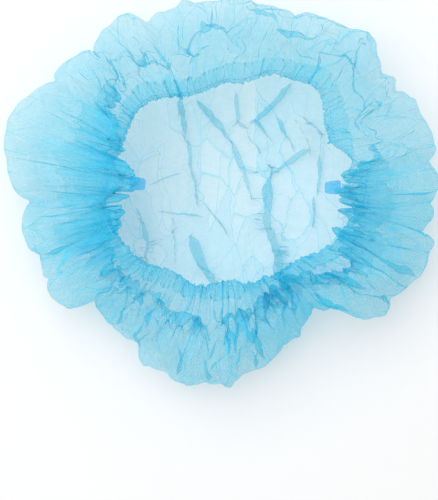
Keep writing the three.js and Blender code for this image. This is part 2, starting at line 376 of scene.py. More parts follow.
print("puffs:", len(PUFFS), "widest reach in mm:", puff(np.arange(360.0))[0].max().round(1))

# %% [markdown]
# The mouth is a second table of the same kind. The elastic draws the neck in, so its radius changes
# gently, and so does the lean of the frill above it: both ease from row to row.

# %% Mouth
# Each row: angle, radius of the neck, lean of the frill outwards
MOUTH = np.array([
    (2, 86, -70), (8, 88, -50), (25, 74, 58), (48, 86, 66), (62, 80, 50), (81, 67, 62), (105, 61, 45),
    (132, 70, 60), (158, 65, 40), (168, 70, -55), (174.6, 68, -74), (181, 71, -55), (192, 69, 48),
    (215, 65, 64), (240, 56, 52), (257, 59, 30), (274, 54, 58), (292, 59, 36), (315, 62, 60),
    (340, 77, 50), (356, 88, -50),
])


def eased(share):
    """Half a cosine wave from 0 to 1, level at both ends."""
    return (1 - np.cos(np.pi * share)) / 2


def mouth(angle):
    """Radius of the neck and lean of the frill: half a cosine wave from row to row."""
    before, after, share = rows_around(MOUTH[:, 0], angle)
    part = eased(share)[..., None]
    return np.moveaxis(MOUTH[before, 1:] + (MOUTH[after, 1:] - MOUTH[before, 1:]) * part, -1, 0)


print("rows of the mouth:", len(MOUTH), "widest neck in mm:", MOUTH[:, 1].max())

# %% [markdown]
# The sheet is a square grid whose squares are bent into rings, so that it has no pole in the
# middle where faces would shrink to needles. From the middle outwards a ring lies on the floor,
# climbs the flank, turns over the shoulder, goes up the neck and ends at the frill's edge. Each
# point is named by its ring and its angle, and the shapes below are functions of these two.

# %% Rings and angles
ROWS = {"floor": 84, "flank": 16, "shoulder": 44, "neck": 5, "frill": 7}

side = 2 * sum(ROWS.values()) + 1
across, along = np.meshgrid(np.linspace(-1, 1, side), np.linspace(-1, 1, side), indexing="ij")
ring = np.maximum(abs(across), abs(along)) * sum(ROWS.values())
sideways = abs(across) >= abs(along)
larger = np.where(sideways, across, along)
smaller = np.where(sideways, along, across)
lean_share = np.divide(smaller, larger, out=np.zeros_like(larger), where=larger != 0)
angle = np.where(sideways, 45 * lean_share, 90 - 45 * lean_share) + np.where(larger < 0, 180, 0)


def stretch_share(ring, name):
    """How much of a named stretch a ring has behind it, from 0 to 1."""
    names = list(ROWS)
    start = sum(ROWS[n] for n in names[:names.index(name)])
    return np.clip((ring - start) / ROWS[name], 0, 1)


print("points:", ring.shape, "rings:", int(ring.max()))

# %% [markdown]
# The shoulder has more cloth than room, and in many places it is tucked back under itself near the
# neck. Three layers lie on each other there, and the cap looks deep blue. Such tucks could be drawn
# fold by fold. It is easier to say how much is tucked at each angle, and to make that uneven with
# waves of many lengths.

# %% Tucks
# Each row: angle, how much the shoulder is tucked under itself there, from 0 to 1
TUCKS = np.array([
    (0, 0.45), (15, 0.3), (40, 0.15), (70, 0.1), (95, 0.2), (115, 0.4), (130, 0.45), (147, 0.5),
    (162, 0.65), (180, 0.85), (198, 0.85), (215, 0.6), (235, 0.45), (255, 0.4), (270, 0.45), (285, 0.6),
    (300, 0.65), (318, 0.6), (335, 0.55), (350, 0.5),
])
# Each row: how many waves go round, their size, where the first starts
TUCK_WAVES = [(7, 0.15, 2.0), (13, 0.13, 0.5), (23, 0.12, 4.0), (41, 0.10, 2.6), (71, 0.09, 1.3),
              (113, 0.08, 0.7)]
UNEVEN_TUCK = 1.3


def tucked(angle):
    """How much the shoulder is tucked: half a cosine wave from row to row, times uneven waves.
    The second value is the same without the waves."""
    before, after, share = rows_around(TUCKS[:, 0], angle)
    tuck = TUCKS[before, 1] + (TUCKS[after, 1] - TUCKS[before, 1]) * eased(share)
    waves = sum(size * np.sin(count * np.radians(angle) + start) for count, size, start in TUCK_WAVES)
    return tuck * (1 + UNEVEN_TUCK * waves), tuck


print("strongest tuck:", tucked(np.arange(360.0))[0].max().round(2))

# %% [markdown]
# Left and right of the mouth all the pleats are welded into a tab. The frill is drawn together
# there, and a lobe of the shoulder falls over the tab into the mouth. Both fade away with the angle
# from the tab by a bell curve, so one helper serves for both.

# %% Cloth round the tabs
TAB_ANGLES = {"end_weld_left": 174.6, "end_weld_right": 2.0}
PINCH = {"share": 0.80, "width": 15}
LOBES = {"end_weld_left": 0.50, "end_weld_right": 0.75}
LOBE_WIDTH = 24


def off_tab(angle):
    """Angle from each tab, first axis the tabs, from -180 to 180."""
    return np.stack([np.mod(angle - tab + 180, 360) - 180 for tab in TAB_ANGLES.values()])


def tab_bell(angle, width):
    """A bell round each tab, first axis the tabs: 1 at its middle and nearly 0 two widths away."""
    return np.exp(-(off_tab(angle) / width) ** 2)


def pinched(angle, share):
    """Angles near a tab move towards it by a bell, most at the frill's edge, so the cloth bunches."""
    return angle - (PINCH["share"] * share * off_tab(angle) * tab_bell(angle, PINCH["width"])).sum(0)


print("tabs at", list(TAB_ANGLES.values()), "degrees")

# %% [markdown]
# The shoulder has two profiles, and the tuck will mix them. The plain one comes in from the belly
# to the neck in one curve.

# %% Plain shoulder
NECK_HEIGHT = 46
PLAIN_SWELL = 6


def plain_shoulder(shoulder):
    """Way in and climb of a quarter turn, with a low swell, a half sine, on top."""
    climb = (NECK_HEIGHT - BELLY_LEVEL) * np.sin(np.pi / 2 * shoulder)
    return 1 - np.cos(np.pi / 2 * shoulder), climb + PLAIN_SWELL * np.sin(np.pi * shoulder)


print("the plain shoulder climbs", plain_shoulder(1.0)[1].round(1), "mm from the belly to the neck")

# %% [markdown]
# The tucked profile comes over the puff almost to the neck, turns back under itself, and only then
# goes in to the neck. A lobe reaches further in and stands higher.

# %% Tucked shoulder
PUFF_TOP = 52
LOBE_RISE = 22
INNER_UNEVEN = 0.35
# Each pair: the value without a tuck, and what a full tuck adds to it
OVER_END = (0.7, -0.2)
BACK_END = (0.85, -0.1)
INNER_FOLD = (0.50, 0.43)
OUTER_FOLD = (0.75, -0.40)
TUCK_LEVEL = (PUFF_TOP - 2, -10)


def with_tuck(pair, tuck):
    """The value without a tuck, plus the tuck times what a full one adds."""
    return pair[0] + pair[1] * tuck


def tucked_shoulder(shoulder, angle):
    """Way in, climb and share of the first curve: over by a quarter sine to the inner fold, back
    by half a cosine to the outer fold, then by another one in to the neck."""
    tuck, steady = tucked(angle)
    bunch = np.tensordot(list(LOBES.values()), tab_bell(angle, LOBE_WIDTH), 1)
    over_end = with_tuck(OVER_END, np.clip(tuck, 0, 1))
    back_end = with_tuck(BACK_END, np.clip(tuck, 0, 1))
    over = np.sin(np.pi / 2 * np.clip(shoulder / over_end, 0, 1))
    back = eased(np.clip((shoulder - over_end) / (back_end - over_end), 0, 1))
    inwards = eased(np.clip((shoulder - back_end) / (1 - back_end), 0, 1))
    inner = with_tuck(INNER_FOLD, INNER_UNEVEN * tuck + (1 - INNER_UNEVEN) * steady) + bunch
    outer = with_tuck(OUTER_FOLD, tuck)
    level = with_tuck(TUCK_LEVEL, tuck)
    top = PUFF_TOP + LOBE_RISE * bunch
    way_in = inner * over + (outer - inner) * back + (1 - outer) * inwards
    climb = (top - BELLY_LEVEL) * over + (level - top) * back + (NECK_HEIGHT - level) * inwards
    return way_in, climb, over


print("a full tuck turns back at", round(with_tuck(INNER_FOLD, 1), 2), "of the way in to the neck")

# %% [markdown]
# Now a ring and an angle give a point. The floor is level and the flank is an arc. The shoulder
# takes the point from the belly's reach to the neck's radius. Neck and frill are straight, and the
# frill leans out, or near a tab in.

# %% The sheet before it is gathered
FLOOR_SHARE = 0.72
NECK_LENGTH = 9
FRILL_LENGTH = 13
FLANK_TURN = np.radians(62)
FULL_MIX = 1.6


def mix_of(tuck):
    """The share of the tucked profile: it grows with the tuck, and is whole well before 1."""
    return np.clip(tuck * FULL_MIX, 0, 1)


def smooth_sheet(ring, angle):
    """Points of the ungathered sheet: distance from the middle and height add up stretch by
    stretch. The shoulder's two profiles are mixed by the tuck."""
    reach, rise = puff(angle)
    radius, lean = mouth(angle)
    flank = stretch_share(ring, "flank") * FLANK_TURN
    shoulder = stretch_share(ring, "shoulder")
    frill = FRILL_LENGTH * stretch_share(ring, "frill")
    plain_in, plain_climb = plain_shoulder(shoulder)
    tucked_in, tucked_climb, over = tucked_shoulder(shoulder, angle)
    mixed = mix_of(tucked(angle)[0])
    way_in = mixed * tucked_in + (1 - mixed) * plain_in
    r = reach * FLOOR_SHARE * stretch_share(ring, "floor")
    r = r + reach * (1 - FLOOR_SHARE) * np.sin(flank) / np.sin(FLANK_TURN)
    r = r - (reach - radius) * way_in + frill * np.sin(np.radians(lean))
    z = BELLY_LEVEL * (1 - np.cos(flank)) / (1 - np.cos(FLANK_TURN)) + rise * np.sin(np.pi * over) ** 2
    z = z + mixed * tucked_climb + (1 - mixed) * plain_climb
    z = z + NECK_LENGTH * stretch_share(ring, "neck") + frill * np.cos(np.radians(lean))
    turn = np.radians(pinched(angle, stretch_share(ring, "frill")))
    return np.stack([r * np.cos(turn), r * np.sin(turn), z], -1)


base = smooth_sheet(ring, angle)
flank = stretch_share(ring, "flank")
shoulder = stretch_share(ring, "shoulder")
frill = stretch_share(ring, "frill")
print("extent in mm:", np.ptp(base, (0, 1)).round(1))

# %% [markdown]
# The same grid laid flat is the sheet as it was cut: each stretch has its real length there, and
# the rings are circles. It says how much cloth is spare at each point once the sheet is gathered,
# and later it gives the lengths that the cloth must keep.

# %% The sheet as it was cut
# Length of each stretch on the flat sheet
STRETCH_LENGTHS = {"floor": 88, "flank": 46, "shoulder": 71, "neck": 9, "frill": 12}
# For pleats, the spare squared is 1 plus this times the square of depth times count over radius
PLEAT_FORM = 0.6

flat_radius = sum(length * stretch_share(ring, name) for name, length in STRETCH_LENGTHS.items())
flat = np.stack([flat_radius * np.cos(np.radians(angle)), flat_radius * np.sin(np.radians(angle))], -1)
smooth_radius = np.hypot(base[..., 0], base[..., 1])
spare = np.maximum(flat_radius / np.maximum(smooth_radius, 1), 1)
depth_by_count = np.sqrt((spare ** 2 - 1) / PLEAT_FORM) * smooth_radius
print("where it is tightest, the cloth is", spare.max().round(2), "times as long as its room")

# %% [markdown]
# Nonwoven creases like paper: flat facets meet in sharp, straight ridges and valleys. A neat way
# to make such a surface is to scatter two sets of points. The squared distance to the nearest
# point of one set, less that of the other, is flat between straight creases.

# %% Paper creases
def nearest_squared(x, y, cells, seed):
    """Squared distance to the nearest of one scattered point in each square of a unit grid."""
    shifts = np.random.default_rng(seed).uniform(0.05, 0.95, (cells, cells, 2))
    cell_x = np.floor(x).astype(int)
    cell_y = np.floor(y).astype(int)
    nearest = np.full(x.shape, np.inf)
    for i in (-1, 0, 1):
        for j in (-1, 0, 1):
            shift = shifts[(cell_x + i) % cells, (cell_y + j) % cells]
            dx = cell_x + i + shift[..., 0] - x
            dy = cell_y + j + shift[..., 1] - y
            nearest = np.minimum(nearest, dx * dx + dy * dy)
    return nearest


def creased(x, y, seed, cells=64):
    """Flat facets about one unit wide between sharp creases, from -1 to 1. Repeats after cells."""
    return nearest_squared(x, y, cells, seed) - nearest_squared(x, y, cells, seed + 1)


def creased_round(angle, count, length, seed):
    """Creases in columns round the cap: how many, and how long in millimetres outwards."""
    return creased(angle / 360 * count, flat_radius / length, seed, count)


scattered = np.random.default_rng(1).uniform(0, 64, (2, 4000))
print("crease pattern spread:", creased(*scattered, 1).std().round(2))

# %% [markdown]
# Pleats move the cloth along three ways: round the cap, along the sheet from ring to ring, and out
# of it. Small steps on the smooth sheet give all three. Slow waves with many periods, each started
# at random from a fixed seed, keep one pleat from being like the next.

# %% Ways and slow waves
ANGLE_STEP = 0.8
DRIFT_RINGS = 50
# Each row: how many waves go round, and how much they twist on the way out
SLOW_WAVES = {
    "place": ((3, 5, 8, 13, 21), 2.0),
    "depth": ((4, 7, 11, 19, 27), 1.5),
    "lean": ((2, 5, 9, 14), 1.0),
}
rng = np.random.default_rng(7)


def unit(vectors):
    """Each vector divided by its length."""
    return vectors / np.maximum(np.linalg.norm(vectors, axis=-1, keepdims=True), 1e-9)


def directions(ring, angle):
    """Ways round, along and out of the smooth sheet, from small steps round it and along it."""
    round_way = smooth_sheet(ring, angle + ANGLE_STEP) - smooth_sheet(ring, angle - ANGLE_STEP)
    along_way = smooth_sheet(ring + 1, angle) - smooth_sheet(ring - 1, angle)
    return unit(round_way), unit(along_way), unit(np.cross(round_way, along_way))


def slow_waves(angle, ring, periods, drift):
    """A sum of sines round the circle, each shifted at random and twisted a little from ring to
    ring, divided by the root of their number."""
    turn = np.radians(angle)
    waves = [
        np.sin(k * turn + rng.uniform(0, 2 * np.pi) + rng.normal(0, drift) * ring / DRIFT_RINGS)
        for k in periods
    ]
    return sum(waves) / np.sqrt(len(periods))


way_round, way_along, way_out = directions(ring, angle)
print("ways found for", way_out.shape[:2], "points")

# %% [markdown]
# The edge of the sheet is three times as long as the elastic, so it stands in pleats there, and
# they open out towards the widest part. Plain sines would look like a cake tin, so only a small part
# of each wave is a sine, and the rest is sharp creases. There are wide pleats for the puffs and fine
# ones for the neck.

# %% Waves of the pleats
# How many go round, their length, and the sizes of their sine and of their creases
WIDE = {"count": 76, "length": 22, "sine": 0.25, "crease": 1.7, "seed": 3}
FINE = {"count": 190, "length": 11, "sine": 0.3, "crease": 1.7, "seed": 5}
# Degrees by which pleats are out of place, and the size of the creases that shift them
SLOW_SHIFT = 1.8
SHARP_SHIFT = 3.0
SHIFT_WIDTH, SHIFT_LENGTH = 10, 22


def pleat_wave(kind, warp):
    """A plain sine, plus creases that are one pleat wide."""
    wave = kind["sine"] * np.sin(kind["count"] * np.radians(warp))
    return wave + kind["crease"] * creased_round(warp, kind["count"], kind["length"], kind["seed"])


warp = angle + SLOW_SHIFT * slow_waves(angle, ring, *SLOW_WAVES["place"])
sharp = creased(angle / SHIFT_WIDTH, flat_radius / SHIFT_LENGTH, 81, 360 // SHIFT_WIDTH)
warp = warp + SHARP_SHIFT * shoulder * sharp
wave = pleat_wave(WIDE, warp)
fine = pleat_wave(FINE, warp)
print("pleats:", WIDE["count"], "wide and", FINE["count"], "fine")

# %% [markdown]
# The spare cloth says how deep the pleats must be. They are uneven, calmer in the lobes, and near
# the neck the fine ones take over. A pleat leans over until it lies on itself: it moves outwards
# and sideways by the same wave.

# %% Depth of the pleats
UNEVEN_DEPTH = 0.6
SHALLOWEST, DEEPEST = 0.2, 2
LEAN_OVER = 1.6
CALM_NECK, CALM_FRILL, CALM_LOBE = 0.8, 0.5, 0.55
DEEPER_AT_TAB = 1.2

uneven = UNEVEN_DEPTH * slow_waves(angle, ring, *SLOW_WAVES["depth"])
strength = np.clip(1 + uneven, SHALLOWEST, DEEPEST)
near_neck = shoulder ** 4
in_lobe = tab_bell(angle, LOBE_WIDTH).max(0) * np.sin(np.pi * shoulder)
calm = 1 - CALM_NECK * near_neck * (1 - CALM_FRILL * frill)
depth = strength * depth_by_count / WIDE["count"] * flank * calm
depth = depth * (1 - CALM_LOBE * in_lobe)
deeper = 1 + DEEPER_AT_TAB * tab_bell(angle, PINCH["width"]).sum(0) * frill
fine_depth = depth_by_count / FINE["count"] * near_neck * deeper
lean_over = slow_waves(angle, ring, *SLOW_WAVES["lean"]) * LEAN_OVER * shoulder
lean_over = lean_over * smooth_radius / WIDE["count"]
gathered = base + way_out * (depth * wave + fine_depth * fine)[..., None]
gathered = gathered - way_round * (lean_over * wave)[..., None]
print("deepest in mm:", depth.max().round(1), "and", fine_depth.max().round(1))

# %% [markdown]
# On the shoulder the pleats don't run straight to the neck: the cloth bunches up beside and behind
# itself. The whole sheet also keeps the facets of its creases. On the crown they are long, because
# the cap was pleated one way, and on the puffs they stand higher, most of all at the lower edge of
# the picture.

# %% Bunches and facets
BUNCH_SIZE = 12.0
LOBE_BUNCH = 0.4
# Each row: how many columns go round, their length in millimetres, seed
ROUND_BUNCHES = (44, 17, 61)
ALONG_BUNCHES = (36, 15, 71)
# Each row: height, width, length in millimetres, seed
CROWN_FACETS = [(2.2, 13, 60, 11), (1.0, 6, 17, 21)]
PUFF_FACETS = [(9.0, 23, 27, 31), (4.0, 9, 10, 41)]
HEAVY_SHARE = 0.35
LIGHTEST_ANGLE = 110
CALM_SHOULDER = 0.6
FLOOR_LIFT = 1.2


def facets_of(rows):
    """The sum of several sets of creases on the flat sheet, each times its height."""
    x, y = flat[..., 0], flat[..., 1]
    return sum(high * creased(x / wide, y / long, seed) for high, wide, long, seed in rows)


bunching = BUNCH_SIZE * (np.sin(np.pi * shoulder) - LOBE_BUNCH * in_lobe)
gathered = gathered + way_round * (bunching * creased_round(angle, *ROUND_BUNCHES))[..., None]
gathered = gathered + way_along * (bunching * creased_round(angle, *ALONG_BUNCHES))[..., None]
heavy = 1 - HEAVY_SHARE * np.cos(np.radians(angle - LIGHTEST_ANGLE))
facets = facets_of(CROWN_FACETS) + heavy * flank * facets_of(PUFF_FACETS)
crumpled = gathered + way_out * (facets * (1 - CALM_SHOULDER * shoulder))[..., None]
crumpled[..., 2] = np.maximum(crumpled[..., 2] + FLOOR_LIFT * (1 - flank), 0)
print("facets stand", np.ptp(facets).round(1), "mm high")

# %% [markdown]
# A few large folds lie over in the crown, where the mouth shows it. They come from chance when a cap
# is shaken open, so each one is listed. Sizes are in millimetres.

# %% Where the large folds lie
# Each row: the two ends, bow to the left of the line between them, width, height
FOLDS = [
    (-14.9, 58.3, 18.6, -6.8, 7.0, 5.5, 2.6), (-26.7, 67.6, -13.6, -8.7, 1.0, 3.4, 2.0),
    (-13.6, -0.6, 7.4, -28.5, 0.0, 1.8, 1.2), (32.2, 18.0, 39.7, -59.5, -5.0, 7.5, 3.0),
    (53.3, 27.3, 32.9, 13.6, 0.5, 5.0, 2.4), (35.8, 49.0, 47.0, 27.0, 0.5, 4.4, 2.2),
    (48.5, 47.0, 56.5, 21.0, 0.8, 4.2, 2.2), (53.5, 50.0, 65.0, 36.0, 0.5, 4.8, 2.2),
    (11.8, 47.1, 26.7, 24.2, 0.6, 4.4, 2.2), (24.0, 46.0, 34.0, 31.0, 0.3, 4.0, 2.0),
    (44.0, 70.7, 18.0, 42.5, 2.0, 4.0, 2.0), (-52.0, -8.7, -44.6, -45.9, 1.5, 5.0, 2.4),
    (-29.1, -13.0, -28.5, -45.9, 0.4, 1.8, 1.2), (-19.2, -26.0, -1.9, -56.4, -2.0, 6.5, 2.8),
    (63.9, 36.6, 61.4, -0.6, 0.6, 4.2, 2.2), (9.5, 65.0, 11.5, 38.0, 0.4, 3.4, 1.8),
    (-45.9, 4.3, -24.2, 13.6, 0.6, 1.8, 1.2), (-39.7, -11.2, -8.7, -14.9, 0.6, 1.6, 1.0),
    (-27.3, 58.0, -19.8, 31.0, -1.0, 2.6, 1.4), (44.2, 0.0, 43.3, -20.0, 0.4, 3.0, 1.6),
    (59.2, -1.0, 59.2, -22.0, 0.4, 3.0, 1.6),
]
print("large folds:", len(FOLDS), "widest in mm:", max(row[5] for row in FOLDS))

# %% [markdown]
# Across such a fold the sheet goes forwards, back and forwards again, so three layers lie on each
# other and look darker. Moving each point back by a sine of its distance from the fold's line does
# just that. The fold narrows only near its two ends, and creases make its edges uneven.

# %% Lay the folds over
FOLD_REACH = 1.5
FOLD_FULL = 1.8
FOLD_UNEVEN = 0.45
UNEVEN_SIZE = (6, 11)
# How far a fold is laid back: this share of its width, and more for each millimetre of width
LAID_BACK = (0.85, 0.05)


def fold_over(points, x1, y1, x2, y2, bow, width, height):
    """Lays cloth over along a line. The bow is a parabola, and the taper the root of a steeper one,
    cut off at 1. A point inside the fold moves back across it by a sine of its distance, and is
    lifted most on the side that lies on top."""
    start = np.array([x1, y1])
    line = np.array([x2, y2]) - start
    length = np.linalg.norm(line)
    left = np.array([-line[1], line[0]]) / length
    share = (points[..., :2] - start) @ line / length ** 2
    arc = np.clip(4 * share * (1 - share), 0, 1)
    taper = np.sqrt(np.clip(FOLD_FULL * arc, 0, 1))
    half = FOLD_REACH * width * taper
    creases = creased(points[..., 0] / UNEVEN_SIZE[0], points[..., 1] / UNEVEN_SIZE[1], 51)
    away = (points[..., :2] - start) @ left - bow * arc + FOLD_UNEVEN * width * creases
    turn = np.pi * np.clip(away / np.maximum(half, 1e-6), -1, 1)
    back = (LAID_BACK[0] + LAID_BACK[1] * width) * width * taper * np.sin(turn)
    points[..., :2] -= back[..., None] * left
    points[..., 2] += height * taper * np.cos(turn / 2) ** 2 * (1 - np.sin(turn))


for row in FOLDS:
    fold_over(crumpled, *row)
print("the crown with its folds stands up to", crumpled[flank == 0, 2].max().round(1), "mm high")

# %% [markdown]
# Cloth can fold, but it hardly shrinks or stretches. So neighbours that have come too near each
# other, or too far apart, are now moved, over and over, until their distance is nearly right. Cloth
# that is too long for its place then buckles into folds by itself, as on the real cap. Blender's
# Cloth could do that too, over many frames. Moving all pairs as whole arrays takes seconds.

# %% Pairs of neighbours
def pairs(rows_on, columns_on):
    """Slices that pair each point with one a few rows and columns on. No two pairs share a point."""
    step = max(rows_on, columns_on)
    for start in range(2 * step):
        firsts = slice(start, side - step, 2 * step)
        seconds = slice(start + step, side, 2 * step)
        if rows_on == 0:
            yield (slice(None), firsts), (slice(None), seconds)
        else:
            before = slice(max(0, -columns_on), side - max(0, columns_on))
            after = slice(max(0, columns_on), side - max(0, -columns_on))
            yield (firsts, before), (seconds, after)


def distances(points, first, second):
    """Length from each first point to its second."""
    return np.linalg.norm(points[second] - points[first], axis=-1)


def keep_lengths(points, first, second, rest, share):
    """Moves both ends of each pair along their line, a share of the way to the rest length."""
    gap = points[second] - points[first]
    length = np.sqrt(np.einsum("ijk,ijk->ij", gap, gap))
    move = gap * (share / 2 * (1 - rest / np.maximum(length, 1e-6)))[..., None]
    points[first] += move
    points[second] -= move


print("pairs beside each other:", len(list(pairs(0, 1))), "sets")

# %% [markdown]
# Neighbours keep the distance that they have by now, but at least that of the flat sheet, and not
# too many times that. Pairs two steps apart keep the creases that the sheet has by now, but gently,
# so that new ones can form.

# %% Rest lengths
# Steps on in rows and columns, and how stiff such a pair is
STRETCH = {(1, 0): 1.0, (0, 1): 1.0, (1, 1): 0.6, (1, -1): 0.6}
BEND = {(2, 0): 0.06, (0, 2): 0.06}
MOST_STRETCH = 2.4

springs = []
for steps, share in STRETCH.items():
    for first, second in pairs(*steps):
        cut = distances(flat, first, second)
        rest = np.clip(distances(crumpled, first, second), cut, MOST_STRETCH * cut)
        springs.append((first, second, rest, share))
for steps, share in BEND.items():
    for first, second in pairs(*steps):
        springs.append((first, second, distances(crumpled, first, second), share))
print("sets of springs:", len(springs))

# %% [markdown]
# While the lengths are restored, four places are held near where they were: the neck in its
# elastic, the frill that is drawn together at the tabs, the belly that gives the outline, and the
# lobes over the tabs. Nothing sinks into the floor, and the neck stays inside the elastic.

# %% Relax
ROUNDS = 220
NECK_ROOM = 1.6
# Shares of the stretches between which the belly and the lobes are held
BELLY = {"flank": 0.5, "shoulder": 0.15}
LOBE_START, LOBE_END, LOBE_CORE = 0.25, 0.8, 0.4
# Share of the way back to its place that a held point moves in each round
FIRMNESS = {"neck": 0.15, "bunch": 0.3, "belly": 0.5, "lobe": 0.1}

neck = (stretch_share(ring, "neck") > 0) & (frill == 0)
bunch = (frill > 0) & (abs(off_tab(angle)).min(0) < PINCH["width"])
belly = (flank > BELLY["flank"]) & (shoulder < BELLY["shoulder"])
lobe = (shoulder > LOBE_START) & (shoulder < LOBE_END)
lobe = lobe & (tab_bell(angle, LOBE_WIDTH).max(0) > LOBE_CORE)
holds = [(neck, gathered, FIRMNESS["neck"]), (bunch, gathered, FIRMNESS["bunch"]),
         (belly, crumpled, FIRMNESS["belly"]), (lobe, gathered, FIRMNESS["lobe"])]

relaxed = crumpled.copy()
neck_limit = smooth_radius[neck] + NECK_ROOM
for _ in range(ROUNDS):
    for first, second, rest, share in springs:
        keep_lengths(relaxed, first, second, rest, share)
    for held, place, firmness in holds:
        relaxed[held] += firmness * (place[held] - relaxed[held])
    reached = np.hypot(relaxed[neck, 0], relaxed[neck, 1])
    relaxed[neck, :2] *= np.minimum(1, neck_limit / reached)[:, None]
    relaxed[..., 2] = np.maximum(relaxed[..., 2], 0)
print("moved by up to", np.linalg.norm(relaxed - crumpled, axis=-1).max().round(1), "mm")

# %% [markdown]
# Nonwoven has no knife edges, so the creases are eased. Twice, each point moves part of the way to
# the middle of its four neighbours, less on the crown than on the puffs. Relaxing and easing draw
# the widest ring in, so it is filled out again, part of the way to the measured outline.

# %% Ease the creases
EASING_ROUNDS = 2
EASING = 0.5
LEAST_EASING = 0.4
FILLED_OUT = 0.6
FILL_FADE = 6

for _ in range(EASING_ROUNDS):
    between = (relaxed[:-2, 1:-1] + relaxed[2:, 1:-1] + relaxed[1:-1, :-2] + relaxed[1:-1, 2:]) / 4
    weight = EASING * np.maximum(flank, LEAST_EASING)[1:-1, 1:-1, None]
    relaxed[1:-1, 1:-1] += weight * (between - relaxed[1:-1, 1:-1])
short = np.maximum(puff(angle)[0] - np.hypot(relaxed[..., 0], relaxed[..., 1]), 0)
filled = FILLED_OUT * flank ** FILL_FADE * (1 - shoulder) ** FILL_FADE
relaxed[..., :2] += (filled * short)[..., None] * unit(relaxed[..., :2])
print("widest ring filled out by up to", (filled * short).max().round(1), "mm")

# %% [markdown]
# The tables are measured from the middle of the mouth, and the solids stand with the middle of
# their box over the origin. The elastic has the same formula in both, so the difference between
# its two boxes is how far everything has to be moved.

# %% Where the solids stand
BAND_WIDTH = 4.6
BAND_THICKNESS = 0.8
BAND_OUT = 2.05
BAND_LOW = NECK_HEIGHT + 3.6

turns = np.arange(0, 360, 0.25)
band_radius = mouth(turns)[0] + BAND_OUT + BAND_THICKNESS
band_edge = band_radius * np.stack([np.cos(np.radians(turns)), np.sin(np.radians(turns))])
band_low, band_high = (np.array(corner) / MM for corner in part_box("elastic_band"))
shift = np.zeros(3)
shift[:2] = (band_low + band_high)[:2] / 2 - (band_edge.min(1) + band_edge.max(1)) / 2
print("moved by", shift.round(2), "mm")

# %% [markdown]
# The finest gathers are finer than the mesh, so the mesh carries a number instead: how many layers
# of cloth a point stands for. It grows towards the neck, most where the shoulder is tucked, and it
# is larger at the lower edge of the picture. Where the tuck turns under it is made small, so that
# the hidden layers fade in without a hard edge.

# %% Layers of cloth
GATHER_LAYERS = 1.9
GATHER_REACH = 58
GATHER_FADE = 1.3
PLAIN_GATHERS, TUCK_GATHERS = 0.22, 1.4
THIN_FRILL = 0.85
HEAVY_LAYERS = 0.4
TURN_AT, TURN_WIDTH, TURN_THIN = 0.78, 0.13, 0.75

tuck = tucked(angle)[0]
near_mouth = np.clip(1 - (smooth_radius - mouth(angle)[0]) / GATHER_REACH, 0, 1) ** GATHER_FADE
fine_pleats = GATHER_LAYERS * near_mouth * (PLAIN_GATHERS + TUCK_GATHERS * tuck)
fine_pleats = fine_pleats * (1 - THIN_FRILL * frill)
turned = mix_of(tuck) * np.exp(-((shoulder - TURN_AT) / TURN_WIDTH) ** 2)
layers = (1 + flank * (HEAVY_LAYERS * heavy ** 2 + fine_pleats)) * (1 - TURN_THIN * turned)
print("layers from", layers.min().round(2), "to", layers.max().round(2))

# %% [markdown]
# The mesh gets two UV maps. The flat one lays fibres and creases out as on the cut sheet. The other
# one has the angle and the distance from the middle, for creases that run out from the neck. Where
# the angle starts again, the corners of a face must not lie a whole turn apart.

# %% The sheet's mesh
sheet = grid_object("nonwoven_sheet", relaxed + shift, nonwoven, uv=flat / SHEET_WIDTH + 0.5)
attribute = sheet.data.attributes.new("layers", "FLOAT", "POINT")
attribute.data.foreach_set("value", layers.ravel().astype(np.float32))
corner = np.empty(len(sheet.data.loops), int)
sheet.data.loops.foreach_get("vertex_index", corner)
turn_of = angle.ravel()[corner].reshape(-1, 4)
turn_of += 360 * (turn_of < turn_of.max(1, keepdims=True) - 180)
gathers = np.stack([turn_of.ravel() / 360, flat_radius.ravel()[corner] / SHEET_WIDTH], -1)
sheet.data.uv_layers.new(name="gathers").data.foreach_set("uv", gathers.ravel())
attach(sheet, "root")
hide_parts("cap_sheet")
print("sheet triangles:", 2 * len(sheet.data.polygons))

# %% [markdown]
# The elastic is knitted from yarn over rubber threads, so it is matt and a little fuzzy, and its tone
# is uneven. Its pale blue is painted light: the tint of the light that reaches it through the blue
# cloth. Modelled loops would take far too many faces, so noise stands for the yarn, drawn coarser
# than a real one, so that it shows.

# %% Knitted elastic material
YARN_SIZE = 0.7
YARN_DEPTH = 0.2

knit, tree = new_material("knitted elastic")
place = add_node(tree, "ShaderNodeTexCoord").outputs["Object"]
yarn = add_node(tree, "ShaderNodeTexNoise", Vector=place, Scale=1 / (YARN_SIZE * MM), Detail=3.0)
# Painted light: both blues are the tint of light through the cloth over the band; the noise mixes them
# unevenly
tone = add_node(tree, "ShaderNodeMix", {"data_type": "RGBA"}, Factor=yarn.outputs[0],
                in6=linear("#aedcf2"), in7=linear("#cdebf8"))
relief = add_node(tree, "ShaderNodeBump", Strength=0.5, Distance=YARN_DEPTH * MM, Height=yarn.outputs[0])
matt = add_node(tree, "ShaderNodeBsdfPrincipled", Base_Color=tone.outputs[2], Roughness=0.85,
                Sheen_Weight=0.25, Normal=relief.outputs[0])
add_node(tree, "ShaderNodeOutputMaterial", Surface=matt.outputs[0])
print("yarn in mm:", YARN_SIZE)

# %% [markdown]
# The elastic is a narrow knitted band that is sewn round the outside of the neck. The frill hangs
# over it, so it shows from the side only. A curve with a bevel would be quick, but its thickness
# couldn't follow the ribs of the knit. So a flat oval is carried round the neck, and its thickness
# goes up and down along the way.

# %% Elastic
RIB_PITCH = 1.8
RIB_DEPTH = 0.16
STEPS_A_RIB = 6
SECTION_STEPS = 14


def rounded(wave):
    """A sine or cosine with its root taken, sign kept, which squares up a circle's corners."""
    return np.sign(wave) * np.sqrt(abs(wave))


